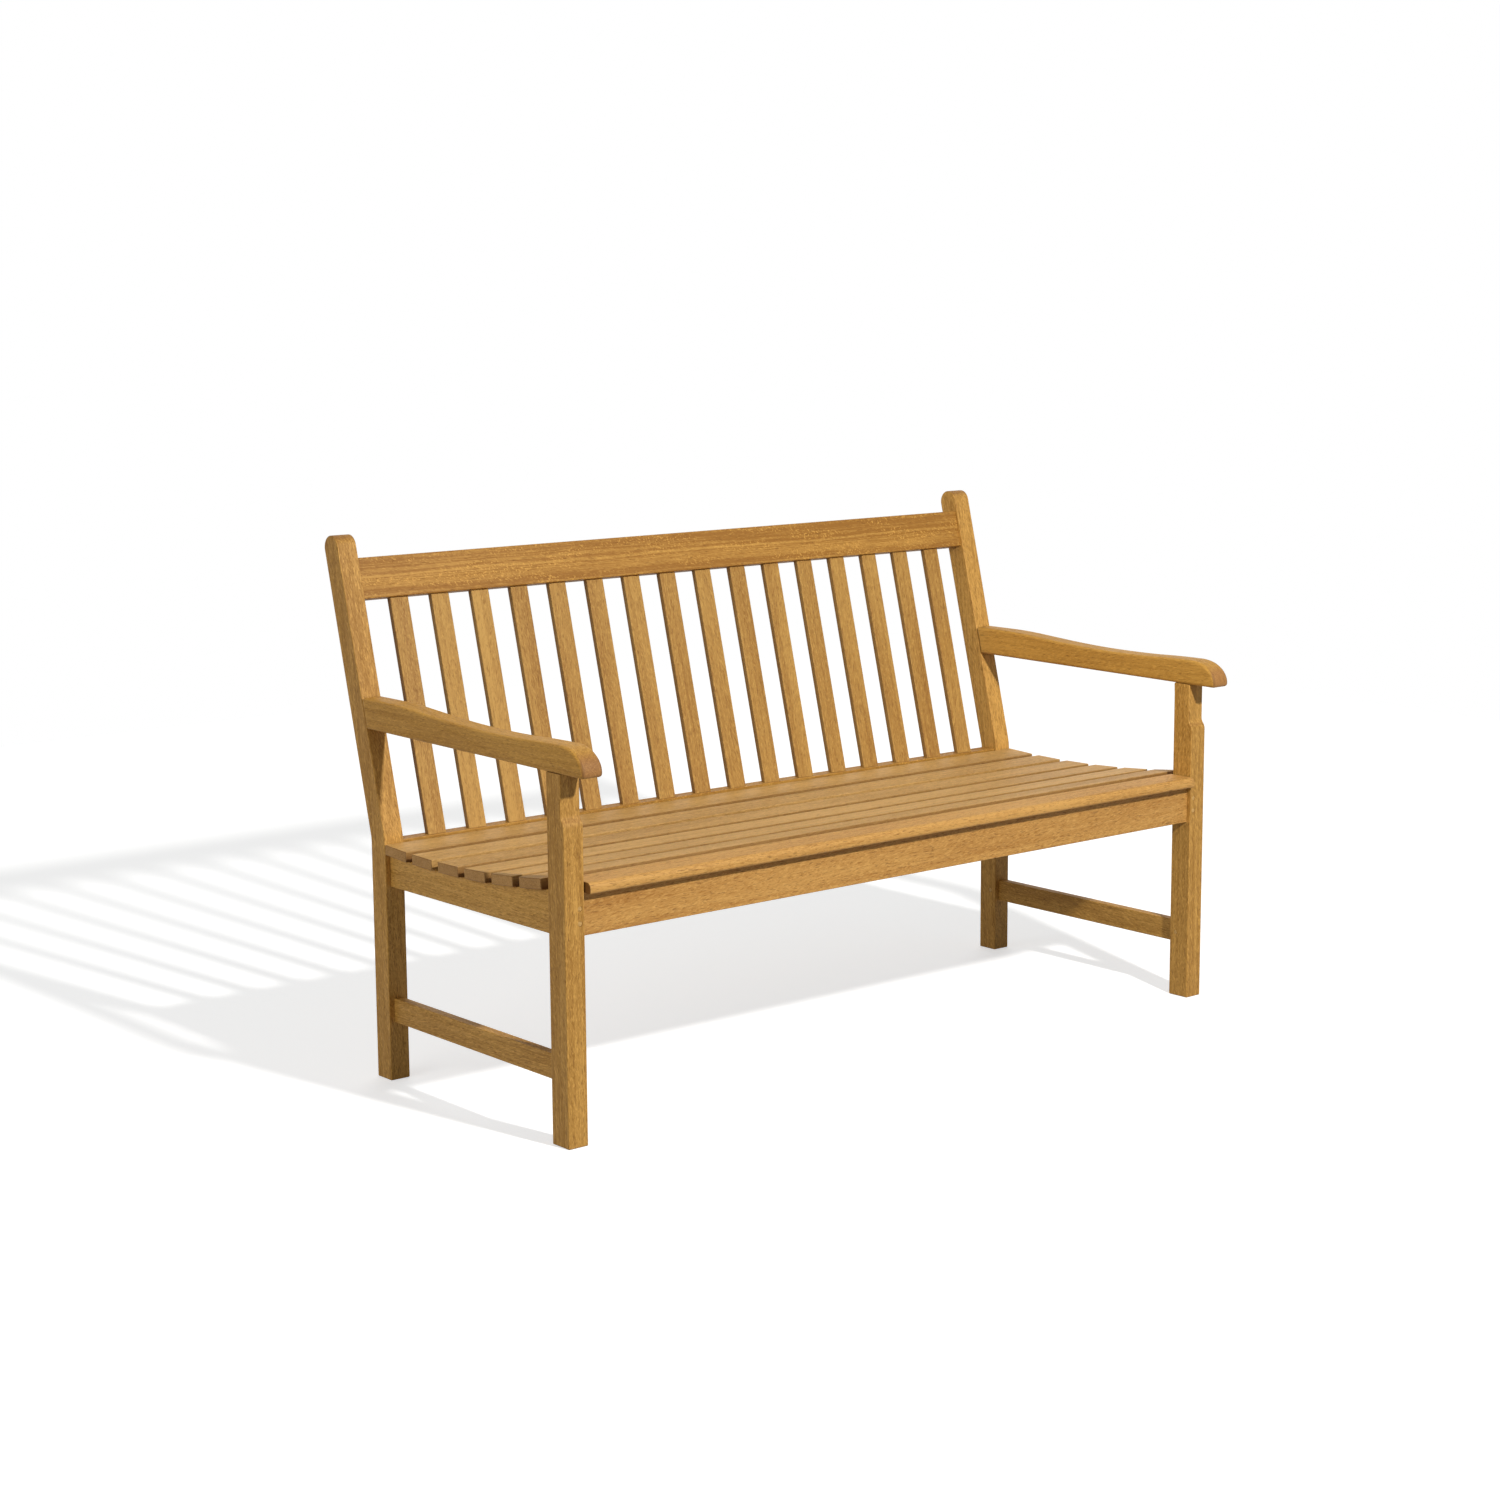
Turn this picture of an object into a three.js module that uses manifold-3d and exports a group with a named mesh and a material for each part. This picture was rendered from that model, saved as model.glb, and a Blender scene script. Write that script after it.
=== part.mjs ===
// A slatted hardwood garden bench, in millimetres, +X to its left-right length, +Y to its back, +Z up.
// Two side frames (legs, seat rail, stretcher, arm) are joined by an apron and two back rails. Every joint
// is a mortise and tenon, and the long joints are pinned with round pegs. The seat slats lie across dished
// rails, and the back slats are housed in the back rails.

import * as THREE from 'three';
import * as BufferGeometryUtils from 'three/addons/utils/BufferGeometryUtils.js';
import Module from 'manifold-3d';

const wasm = await Module();
wasm.setup();

// ---------------------------------------------------------------- driving dimensions

// Fits
const FIT = 0.3;                    // gap between two pieces that touch, and round every tenon and peg
const MERGE_TOLERANCE = 1e-4;
const PEG_SIDES = 16;
const CURVE_STEPS = 12;

// Overall
const BENCH_LENGTH = 1500;          // over the outer faces of the legs
const LEG_SPACING = 522;            // front face of a front leg to front face of a back leg
const BACK_HEIGHT = 936;            // floor to the rounded tops of the back legs
const ARM_UNDERSIDE = 606;          // floor to the underside of the arms at the front legs' front faces
const RAKE = THREE.MathUtils.degToRad(14.2);

// Legs
const LEG_WIDTH = 38;
const FRONT_LEG_DEPTH = 45;
const BACK_LEG_DEPTH = 43;
const BEND_EASE = 14;               // length of the curve either side of the bend
const BEND_ABOVE_RAIL = 7;          // bend of a back leg above the top of the lower back rail
const RELIEF_DEPTH = 8;             // the front leg is thinner under the arm
const RELIEF_LENGTH = 65;
const RELIEF_SWEEP = 22;            // length of the ogee back to full depth

// Seat: its slats lie on a shallow arc
const SEAT_RADIUS = 2450;
const SEAT_LOW_HEIGHT = 394;        // underside of the slats at the lowest point
const SEAT_LOW_SETBACK = 152;       // lowest point in front of the back legs
const SEAT_SLAT_WIDTH = 60;
const SEAT_SLAT_GAP = 19;           // wished for, evened out over the real depth
const SEAT_SLAT_THICKNESS = 18;
const REAR_SLAT_WIDTH = 65;
const FRONT_SLAT_WIDTH = 60;
const FRONT_SLAT_THICKNESS = 19;
const FRONT_SLAT_OVERHANG = 13;
const FRONT_SLAT_END_GAP = 2.4;
const FRONT_SLAT_DROP = 1.5;        // below the line of the dished slats
const NOSE_TOP_RADIUS = 10;
const NOSE_BOTTOM_RADIUS = 5;

// Rails under the seat
const RAIL_UNDERSIDE = 342;
const SIDE_RAIL_THICKNESS = 18;
const APRON_RECESS = 8;
const APRON_THICKNESS = 20;
const BEARER_THICKNESS = 25;
const BEARER_LIFT = 10;             // underside of the bearer above that of the rails
const STRETCHER_UNDERSIDE = 103;
const STRETCHER_HEIGHT = 42;

// Back
const BACK_RAIL_RECESS = 5;
const BACK_RAIL_THICKNESS = 28;
const BACK_RAIL_HEIGHT = 72;
const POST_ABOVE_RAIL = 44;         // along the raked leg
const LOWER_RAIL_REVEAL = 3.5;      // top of the lower rail above the rear seat slat
const BACK_SLAT_WIDTH = 37;
const BACK_SLAT_THICKNESS = 11;
const BACK_SLAT_PITCH = 84.6;
const BACK_SLAT_END_GAP = 50;       // least gap between an end slat and its leg
const BACK_SLAT_HOUSING = 15;

// Arms
const ARM_WIDTH = 41;
const ARM_RISE = 5;                 // the underside climbs this much over the leg spacing
const ARM_FRONT_TOP = 653;          // heights of the top above the floor
const ARM_LOW_TOP = 650;
const ARM_BACK_TOP = 664;
const ARM_LOW_PLACE = 180;          // lowest point of the top behind the front leg's front face
const ARM_LEVEL_LENGTH = 22;        // level part of the top in front of the bend of the back leg
const ARM_OVERHANG = 54;            // nose in front of the front leg
const ARM_NOSE_LENGTH = 60;
const ARM_NOSE_EDGE = 7;

// Tenons and pegs
const TENON_THICKNESS = 12;
const APRON_TENON_THICKNESS = 10;
const TENON_SHOULDER = 10;          // above and below a tenon
const LONG_TENON = 25;
const STRETCHER_TENON = 28;
const BEARER_TENON = 8;
const ARM_TENON_LENGTH = 20;
const ARM_TENON_HEIGHT = 22;
const POST_TENON_DEPTH = 22;
const POST_TENON_HEIGHT = 25;
const LOWER_TENON_SETBACK = 2;      // the lower rail's tenon is near its back, clear of the side rail's
const TENON_WALL = 3;               // wood left between two tenons that meet in one leg
const PEG_DIAMETER = 8;
const PEG_SETBACK = 9;              // from the shoulder of the joint
const PEG_PAST = 2;                 // a peg ends this far past its tenon
const APRON_PEG_SPREAD = 24;
const TOP_PEG_SPREAD = 34;

// ---------------------------------------------------------------- derived places

const innerFace = BENCH_LENGTH / 2 - LEG_WIDTH;
const legCentre = BENCH_LENGTH / 2 - LEG_WIDTH / 2;
const seatLowPoint = LEG_SPACING - SEAT_LOW_SETBACK;

// Height of the dished rails' top at a distance y behind the front legs' front faces.
function seatLine(y) {
  const run = y - seatLowPoint;
  return SEAT_LOW_HEIGHT + SEAT_RADIUS - Math.sqrt(SEAT_RADIUS * SEAT_RADIUS - run * run);
}

const seatRun = LEG_SPACING - FRONT_LEG_DEPTH;
const dishedSlats = Math.floor((seatRun - REAR_SLAT_WIDTH) / (SEAT_SLAT_WIDTH + SEAT_SLAT_GAP));
const seatGap = (seatRun - REAR_SLAT_WIDTH - dishedSlats * SEAT_SLAT_WIDTH) / (dishedSlats + 1);
const foremostEdge = FRONT_LEG_DEPTH + seatGap;
const frontSlatUnderside = seatLine(foremostEdge) - FRONT_SLAT_DROP;

const lowerRailTop = seatLine(LEG_SPACING) + SEAT_SLAT_THICKNESS + LOWER_RAIL_REVEAL;
const lowerRailFront = LEG_SPACING + BACK_RAIL_RECESS;
const bendHeight = lowerRailTop + BEND_ABOVE_RAIL;

// The raked frame has its origin on the legs' front faces at the bend: y is depth into the leg and z
// runs up it.
const raked = new THREE.Matrix4().makeRotationX(-RAKE).setPosition(0, LEG_SPACING, bendHeight);
const postRadius = BACK_LEG_DEPTH / 2;
const postCentre = (BACK_HEIGHT - postRadius - bendHeight + postRadius * Math.sin(RAKE)) / Math.cos(RAKE);
const topRailTop = postCentre + postRadius - POST_ABOVE_RAIL;
const topRailBottom = topRailTop - BACK_RAIL_HEIGHT;
const backRailMiddle = BACK_RAIL_RECESS + BACK_RAIL_THICKNESS / 2;
const slatFoot = (lowerRailTop - bendHeight + backRailMiddle * Math.sin(RAKE)) / Math.cos(RAKE)
  - BACK_SLAT_HOUSING;
const slatHead = topRailBottom + BACK_SLAT_HOUSING;

// Depth of the raked front face of a back leg at height z.
function rakedFront(z) {
  return LEG_SPACING + (z - bendHeight) * Math.tan(RAKE);
}

// Height of the arms' underside at depth y.
function armUnderside(y) {
  return ARM_UNDERSIDE + ARM_RISE * y / LEG_SPACING;
}

const slatRoom = 2 * innerFace - 2 * BACK_SLAT_END_GAP - BACK_SLAT_WIDTH;
const backSlats = Math.floor(slatRoom / BACK_SLAT_PITCH) + 1;

// ---------------------------------------------------------------- solids

// A closed geometry as a manifold solid.
function toSolid(geometry) {
  const bare = geometry.clone();
  bare.deleteAttribute('normal');
  bare.deleteAttribute('uv');
  const merged = BufferGeometryUtils.mergeVertices(bare, MERGE_TOLERANCE);
  const vertProperties = new Float32Array(merged.attributes.position.array);
  const triVerts = new Uint32Array(merged.index.array);
  return new wasm.Manifold(new wasm.Mesh({ numProp: 3, vertProperties, triVerts }));
}

// A manifold solid as a geometry.
function toGeometry(solid) {
  const { vertProperties, triVerts } = solid.getMesh();
  const geometry = new THREE.BufferGeometry();
  geometry.setAttribute('position', new THREE.BufferAttribute(vertProperties, 3));
  geometry.setIndex(new THREE.BufferAttribute(triVerts, 1));
  geometry.computeVertexNormals();
  return geometry;
}

// Joins the added geometries to a piece, then cuts the others out of it.
function worked(piece, added, cuts) {
  let solid = toSolid(piece);
  for (const geometry of added) {
    solid = solid.add(toSolid(geometry));
  }
  for (const geometry of cuts) {
    solid = solid.subtract(toSolid(geometry));
  }
  return toGeometry(solid);
}

// A block given by its two ends on each axis, grown on every side by the slack.
function block(x, y, z, slack = 0) {
  const size = [x, y, z].map(([low, high]) => Math.abs(high - low) + 2 * slack);
  const middle = [x, y, z].map(([low, high]) => (low + high) / 2);
  return new THREE.BoxGeometry(...size).translate(...middle);
}

// A span of the given width about a middle.
function about(middle, width) {
  return [middle - width / 2, middle + width / 2];
}

// A side profile, drawn in y and z, as a board of the given thickness centred on x.
function board(profile, thickness, x) {
  const geometry = new THREE.ExtrudeGeometry(profile, {
    depth: thickness,
    bevelEnabled: false,
    curveSegments: CURVE_STEPS,
  });
  const toSide = new THREE.Matrix4().makeBasis(
    new THREE.Vector3(0, 1, 0),
    new THREE.Vector3(0, 0, 1),
    new THREE.Vector3(1, 0, 0),
  );
  return geometry.applyMatrix4(toSide).translate(x - thickness / 2, 0, 0);
}

// A round peg from its head along a direction; slack makes the hole that it fits.
function pegShape(head, direction, length, slack = 0) {
  const along = new THREE.Vector3(...direction).normalize();
  const middle = new THREE.Vector3(...head).addScaledVector(along, (length + slack) / 2);
  const radius = PEG_DIAMETER / 2 + slack;
  const turn = new THREE.Quaternion().setFromUnitVectors(new THREE.Vector3(0, 1, 0), along);
  const geometry = new THREE.CylinderGeometry(radius, radius, length + slack, PEG_SIDES);
  return geometry.applyQuaternion(turn).translate(middle.x, middle.y, middle.z);
}

// The hole starts outside the face that the peg is driven into.
function pegHole(peg) {
  const along = new THREE.Vector3(...peg.direction).normalize();
  const outside = new THREE.Vector3(...peg.head).addScaledVector(along, -PEG_PAST);
  return pegShape(outside.toArray(), peg.direction, peg.length + PEG_PAST, FIT);
}

// ---------------------------------------------------------------- tenons

// Side -1 is the left of the bench and +1 its right, seen from the front.
const SIDES = [[-1, 'left'], [1, 'right']];

const sideRailBack = LEG_SPACING - FIT;
const sideRailFront = FRONT_LEG_DEPTH + FIT;
const sideTenonTop = SEAT_LOW_HEIGHT - TENON_SHOULDER;
const apronTop = frontSlatUnderside - FIT;
const apronMiddle = APRON_RECESS + APRON_THICKNESS / 2;
const apronTenon = about(apronMiddle, APRON_TENON_THICKNESS);
const lowerTenonBack = lowerRailFront + BACK_RAIL_THICKNESS - LOWER_TENON_SETBACK;
const lowerTenon = [lowerTenonBack - TENON_THICKNESS, lowerTenonBack];
const frontTenonEnd = apronTenon[1] + TENON_WALL;
const rearTenonEnd = lowerTenon[0] - TENON_WALL;
const lowerRailUnderside = lowerRailTop - BACK_RAIL_HEIGHT;

function sideRailTenon(side) {
  const x = about(side * legCentre, TENON_THICKNESS);
  return { x, y: [frontTenonEnd, rearTenonEnd], z: [RAIL_UNDERSIDE + TENON_SHOULDER, sideTenonTop] };
}

function stretcherTenon(side) {
  const x = about(side * legCentre, TENON_THICKNESS);
  const y = [FRONT_LEG_DEPTH - STRETCHER_TENON, LEG_SPACING + STRETCHER_TENON];
  const z = [STRETCHER_UNDERSIDE + TENON_SHOULDER, STRETCHER_UNDERSIDE + STRETCHER_HEIGHT - TENON_SHOULDER];
  return { x, y, z };
}

const longTenonEnds = [-innerFace - LONG_TENON, innerFace + LONG_TENON];
const apronTenons = {
  x: longTenonEnds,
  y: apronTenon,
  z: [RAIL_UNDERSIDE + TENON_SHOULDER, apronTop - TENON_SHOULDER],
};
const lowerRailTenons = {
  x: longTenonEnds,
  y: lowerTenon,
  z: [lowerRailUnderside + TENON_SHOULDER, lowerRailTop - TENON_SHOULDER],
};
const topRailTenons = {
  x: longTenonEnds,
  y: about(backRailMiddle, TENON_THICKNESS),
  z: [topRailBottom + TENON_SHOULDER, topRailTop - TENON_SHOULDER],
};
const bearerTenons = {
  x: about(0, TENON_THICKNESS),
  y: [APRON_RECESS + APRON_THICKNESS - BEARER_TENON, lowerRailFront + BEARER_TENON],
  z: [RAIL_UNDERSIDE + BEARER_LIFT + TENON_SHOULDER, sideTenonTop],
};

const postFront = RELIEF_DEPTH;
const postTenonMiddle = (postFront + FRONT_LEG_DEPTH) / 2;
const armBackMiddle = (armUnderside(LEG_SPACING) + ARM_BACK_TOP) / 2;
const armTenonZ = about(armBackMiddle, ARM_TENON_HEIGHT);

function postTenon(side) {
  const x = about(side * legCentre, TENON_THICKNESS);
  const z = [ARM_UNDERSIDE - TENON_SHOULDER, ARM_UNDERSIDE + POST_TENON_HEIGHT];
  return { x, y: about(postTenonMiddle, POST_TENON_DEPTH), z };
}

function armTenon(side) {
  const x = about(side * legCentre, TENON_THICKNESS);
  const shoulder = rakedFront(armTenonZ[0]);
  return { x, y: [shoulder - TENON_SHOULDER, shoulder + ARM_TENON_LENGTH], z: armTenonZ };
}

const tenonBlock = ({ x, y, z }) => block(x, y, z);
const mortiseBlock = ({ x, y, z }) => block(x, y, z, FIT);

// ---------------------------------------------------------------- pegs

const pegs = [];

// Two pegs pin each apron tenon from the front of its leg.
for (const [side, name] of SIDES) {
  const middle = (apronTenons.z[0] + apronTenons.z[1]) / 2;
  about(middle, APRON_PEG_SPREAD).forEach((z, index) => {
    pegs.push({
      name: `peg_apron_${name}_${index + 1}`,
      head: [side * (innerFace + PEG_SETBACK), 0, z],
      direction: [0, 1, 0],
      length: apronTenon[1] + PEG_PAST,
    });
  });
}

// Two pegs pin each end of the top rail, square to the raked face, from behind.
const rakedInward = new THREE.Vector3(0, -Math.cos(RAKE), Math.sin(RAKE)).toArray();
for (const [side, name] of SIDES) {
  const middle = (topRailTop + topRailBottom) / 2;
  about(middle, TOP_PEG_SPREAD).forEach((z, index) => {
    const head = new THREE.Vector3(side * (innerFace + PEG_SETBACK), BACK_LEG_DEPTH, z).applyMatrix4(raked);
    pegs.push({
      name: `peg_top_rail_${name}_${index + 1}`,
      head: head.toArray(),
      direction: rakedInward,
      length: BACK_LEG_DEPTH - topRailTenons.y[0] + PEG_PAST,
    });
  });
}

// One peg pins each end of the lower back rail, from behind.
for (const [side, name] of SIDES) {
  pegs.push({
    name: `peg_lower_rail_${name}`,
    head: [
      side * (innerFace + PEG_SETBACK),
      LEG_SPACING + BACK_LEG_DEPTH,
      (lowerRailTenons.z[0] + lowerRailTenons.z[1]) / 2,
    ],
    direction: [0, -1, 0],
    length: LEG_SPACING + BACK_LEG_DEPTH - lowerTenon[0] + PEG_PAST,
  });
}

// The side frames are pinned from their inner faces, before the long rails close them in.
for (const [side, name] of SIDES) {
  const rail = sideRailTenon(side);
  const bar = stretcherTenon(side);
  const length = LEG_WIDTH / 2 + TENON_THICKNESS / 2 + PEG_PAST;
  const joints = [
    ['side_rail_front', (frontTenonEnd + FRONT_LEG_DEPTH) / 2, rail.z],
    ['side_rail_back', (LEG_SPACING + rearTenonEnd) / 2, rail.z],
    ['stretcher_front', FRONT_LEG_DEPTH - STRETCHER_TENON / 2, bar.z],
    ['stretcher_back', LEG_SPACING + STRETCHER_TENON / 2, bar.z],
  ];
  for (const [joint, y, z] of joints) {
    pegs.push({
      name: `peg_${joint}_${name}`,
      head: [side * innerFace, y, (z[0] + z[1]) / 2],
      direction: [side, 0, 0],
      length,
    });
  }
}

// The holes of the pegs whose names start with any of the given words.
function holesFor(...words) {
  return pegs.filter((peg) => words.some((word) => peg.name.startsWith(`peg_${word}`))).map(pegHole);
}

// ---------------------------------------------------------------- pieces

const HARDWOOD = new THREE.Color(0xc08a4c);
const WOOD_ROUGHNESS = 0.6;
const DARK = 0.94;
const MIDDLING = 1;
const LIGHT = 1.06;
const PEG_SHADE = 1.15;

// A plain wood finish, a little lighter or darker from piece to piece.
function wood(shade) {
  const colour = HARDWOOD.clone().multiplyScalar(shade);
  return new THREE.MeshStandardMaterial({ color: colour, roughness: WOOD_ROUGHNESS, metalness: 0 });
}

// One named piece.
function piece(name, geometry, shade) {
  const mesh = new THREE.Mesh(geometry, wood(shade));
  mesh.name = name;
  return mesh;
}

// Side profile of a front leg: straight, with an ogee up to the thinner part under the arm.
function frontLegProfile() {
  const top = (y) => armUnderside(y) - FIT;
  const sweepTop = ARM_UNDERSIDE - RELIEF_LENGTH;
  const sweepFoot = sweepTop - RELIEF_SWEEP;
  const middle = (sweepTop + sweepFoot) / 2;
  const profile = new THREE.Shape();
  profile.moveTo(0, 0);
  profile.lineTo(FRONT_LEG_DEPTH, 0);
  profile.lineTo(FRONT_LEG_DEPTH, top(FRONT_LEG_DEPTH));
  profile.lineTo(postFront, top(postFront));
  profile.lineTo(postFront, sweepTop);
  profile.bezierCurveTo(postFront, middle, 0, middle, 0, sweepFoot);
  profile.closePath();
  return profile;
}

// Side profile of a back leg: upright below the bend, raked above it, with a full round top.
function backLegProfile() {
  const upright = (y, z) => [LEG_SPACING + y, z];
  const rakedPoint = (y, z) => {
    const point = new THREE.Vector3(0, y, z).applyMatrix4(raked);
    return [point.y, point.z];
  };
  const rearBend = bendHeight - BACK_LEG_DEPTH * Math.tan(RAKE / 2);
  const rearBendRaked = -BACK_LEG_DEPTH * Math.tan(RAKE / 2);
  const centre = rakedPoint(postRadius, postCentre);
  const profile = new THREE.Shape();
  profile.moveTo(...upright(0, 0));
  profile.lineTo(...upright(BACK_LEG_DEPTH, 0));
  profile.lineTo(...upright(BACK_LEG_DEPTH, rearBend - BEND_EASE));
  profile.quadraticCurveTo(
    ...upright(BACK_LEG_DEPTH, rearBend),
    ...rakedPoint(BACK_LEG_DEPTH, rearBendRaked + BEND_EASE),
  );
  profile.lineTo(...rakedPoint(BACK_LEG_DEPTH, postCentre));
  profile.absarc(...centre, postRadius, -RAKE, Math.PI - RAKE, false);
  profile.lineTo(...rakedPoint(0, BEND_EASE));
  profile.quadraticCurveTo(...upright(0, bendHeight), ...upright(0, bendHeight - BEND_EASE));
  profile.closePath();
  return profile;
}

// Side profile of an arm: straight below, cut to the rake behind, dipped on top, rounded at the nose.
function armProfile() {
  const slack = FIT / Math.cos(RAKE);
  const nose = -ARM_OVERHANG;
  const noseTop = nose + ARM_NOSE_LENGTH;
  const edgeEnd = nose + ARM_NOSE_EDGE;
  const levelStart = LEG_SPACING - ARM_LEVEL_LENGTH;
  const climb = (levelStart - ARM_LOW_PLACE) / 2;
  const frontMiddle = (noseTop + ARM_LOW_PLACE) / 2;
  const backEnd = (z) => rakedFront(z) - slack;
  const underBack = backEnd(armUnderside(LEG_SPACING));
  const noseFoot = armUnderside(edgeEnd);
  const profile = new THREE.Shape();
  profile.moveTo(edgeEnd, noseFoot);
  profile.lineTo(underBack, armUnderside(underBack));
  profile.lineTo(backEnd(ARM_BACK_TOP), ARM_BACK_TOP);
  profile.lineTo(levelStart, ARM_BACK_TOP);
  profile.bezierCurveTo(
    levelStart - climb / 2,
    ARM_BACK_TOP,
    ARM_LOW_PLACE + climb,
    ARM_LOW_TOP,
    ARM_LOW_PLACE,
    ARM_LOW_TOP,
  );
  profile.bezierCurveTo(frontMiddle, ARM_LOW_TOP, frontMiddle, ARM_FRONT_TOP, noseTop, ARM_FRONT_TOP);
  profile.absellipse(
    noseTop,
    noseFoot + ARM_NOSE_EDGE,
    ARM_NOSE_LENGTH,
    ARM_FRONT_TOP - noseFoot - ARM_NOSE_EDGE,
    Math.PI / 2,
    Math.PI,
    false,
    0,
  );
  profile.quadraticCurveTo(nose, noseFoot, edgeEnd, noseFoot);
  return profile;
}

// Adds the dished line to a profile, from one depth to another.
function dishTo(profile, from, to) {
  const steps = 2 * CURVE_STEPS;
  for (let step = 0; step <= steps; step += 1) {
    const y = from + (to - from) * step / steps;
    profile.lineTo(y, seatLine(y));
  }
}

// Side profile of a side seat rail: straight below, dished on top.
function sideRailProfile() {
  const profile = new THREE.Shape();
  profile.moveTo(sideRailFront, RAIL_UNDERSIDE);
  profile.lineTo(sideRailBack, RAIL_UNDERSIDE);
  dishTo(profile, sideRailBack, sideRailFront);
  profile.closePath();
  return profile;
}

// Side profile of the bearer under the middle of the seat; its front end carries the front slat.
function bearerProfile() {
  const front = APRON_RECESS + APRON_THICKNESS + FIT;
  const back = lowerRailFront - FIT;
  const profile = new THREE.Shape();
  profile.moveTo(front, RAIL_UNDERSIDE + BEARER_LIFT);
  profile.lineTo(back, RAIL_UNDERSIDE + BEARER_LIFT);
  profile.lineTo(back, seatLine(LEG_SPACING));
  dishTo(profile, LEG_SPACING, foremostEdge);
  profile.lineTo(foremostEdge, apronTop);
  profile.lineTo(front, apronTop);
  profile.closePath();
  return profile;
}

// End profile of the front slat: a fully rounded front edge.
function frontSlatProfile() {
  const front = -FRONT_SLAT_OVERHANG;
  const back = front + FRONT_SLAT_WIDTH;
  const bottom = frontSlatUnderside;
  const top = bottom + FRONT_SLAT_THICKNESS;
  const topArc = [front + NOSE_TOP_RADIUS, top - NOSE_TOP_RADIUS];
  const profile = new THREE.Shape();
  profile.moveTo(back, bottom);
  profile.lineTo(back, top);
  profile.lineTo(topArc[0], top);
  profile.absarc(...topArc, NOSE_TOP_RADIUS, Math.PI / 2, Math.PI, false);
  profile.lineTo(front, bottom + NOSE_BOTTOM_RADIUS);
  profile.absarc(
    front + NOSE_BOTTOM_RADIUS,
    bottom + NOSE_BOTTOM_RADIUS,
    NOSE_BOTTOM_RADIUS,
    Math.PI,
    1.5 * Math.PI,
    false,
  );
  profile.closePath();
  return profile;
}

// ---------------------------------------------------------------- side frames

function sideFrame(side, name) {
  const x = side * legCentre;
  const frame = new THREE.Group();
  const railTenon = sideRailTenon(side);
  const barTenon = stretcherTenon(side);

  const frontLeg = worked(
    board(frontLegProfile(), LEG_WIDTH, x),
    [tenonBlock(postTenon(side))],
    [
      mortiseBlock(apronTenons),
      mortiseBlock(railTenon),
      mortiseBlock(barTenon),
      ...holesFor(`apron_${name}`, `side_rail_front_${name}`, `stretcher_front_${name}`),
    ],
  );
  frame.add(piece(`front_leg_${name}`, frontLeg, MIDDLING));

  const backLeg = worked(
    board(backLegProfile(), LEG_WIDTH, x),
    [],
    [
      mortiseBlock(lowerRailTenons),
      mortiseBlock(topRailTenons).applyMatrix4(raked),
      mortiseBlock(railTenon),
      mortiseBlock(barTenon),
      mortiseBlock(armTenon(side)),
      ...holesFor(`lower_rail_${name}`, `top_rail_${name}`),
      ...holesFor(`side_rail_back_${name}`, `stretcher_back_${name}`),
    ],
  );
  frame.add(piece(`back_leg_${name}`, backLeg, MIDDLING));

  const rail = worked(
    board(sideRailProfile(), SIDE_RAIL_THICKNESS, x),
    [tenonBlock(railTenon)],
    holesFor(`side_rail_front_${name}`, `side_rail_back_${name}`),
  );
  frame.add(piece(`side_seat_rail_${name}`, rail, DARK));

  const barBody = block(
    about(x, SIDE_RAIL_THICKNESS),
    [sideRailFront, sideRailBack],
    [STRETCHER_UNDERSIDE, STRETCHER_UNDERSIDE + STRETCHER_HEIGHT],
  );
  const bar = worked(
    barBody,
    [tenonBlock(barTenon)],
    holesFor(`stretcher_front_${name}`, `stretcher_back_${name}`),
  );
  frame.add(piece(`stretcher_${name}`, bar, DARK));

  const arm = worked(
    board(armProfile(), ARM_WIDTH, x),
    [tenonBlock(armTenon(side))],
    [mortiseBlock(postTenon(side))],
  );
  frame.add(piece(`armrest_${name}`, arm, LIGHT));
  return frame;
}

// ---------------------------------------------------------------- seat

function seat() {
  const frame = new THREE.Group();
  const apronBody = block(
    [-innerFace + FIT, innerFace - FIT],
    [APRON_RECESS, APRON_RECESS + APRON_THICKNESS],
    [RAIL_UNDERSIDE, apronTop],
  );
  const apron = worked(
    apronBody,
    [tenonBlock(apronTenons)],
    [mortiseBlock(bearerTenons), ...holesFor('apron')],
  );
  frame.add(piece('front_apron', apron, MIDDLING));

  const bearer = worked(board(bearerProfile(), BEARER_THICKNESS, 0), [tenonBlock(bearerTenons)], []);
  frame.add(piece('seat_bearer_middle', bearer, DARK));

  // From the back to the front: the wide rear slat, then the dished ones.
  let backEdge = LEG_SPACING - FIT;
  for (let index = 1; index <= dishedSlats + 1; index += 1) {
    const width = index === 1 ? REAR_SLAT_WIDTH - FIT : SEAT_SLAT_WIDTH;
    const frontEdge = backEdge - width;
    const rise = seatLine(backEdge) - seatLine(frontEdge);
    const slat = new THREE.BoxGeometry(BENCH_LENGTH, Math.hypot(width, rise), SEAT_SLAT_THICKNESS);
    slat.translate(0, 0, SEAT_SLAT_THICKNESS / 2);
    const height = (seatLine(backEdge) + seatLine(frontEdge)) / 2 + FIT;
    const mesh = piece(`seat_slat_${index}`, slat, LIGHT);
    mesh.position.set(0, (backEdge + frontEdge) / 2, height);
    mesh.rotation.x = Math.atan2(rise, width);
    frame.add(mesh);
    backEdge = frontEdge - seatGap;
  }
  const frontLength = 2 * (innerFace - FRONT_SLAT_END_GAP);
  const frontName = `seat_slat_${dishedSlats + 2}`;
  frame.add(piece(frontName, board(frontSlatProfile(), frontLength, 0), LIGHT));
  return frame;
}

// ---------------------------------------------------------------- back

const backSlatCentres = [];
for (let index = 0; index < backSlats; index += 1) {
  backSlatCentres.push((index - (backSlats - 1) / 2) * BACK_SLAT_PITCH);
}

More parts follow.
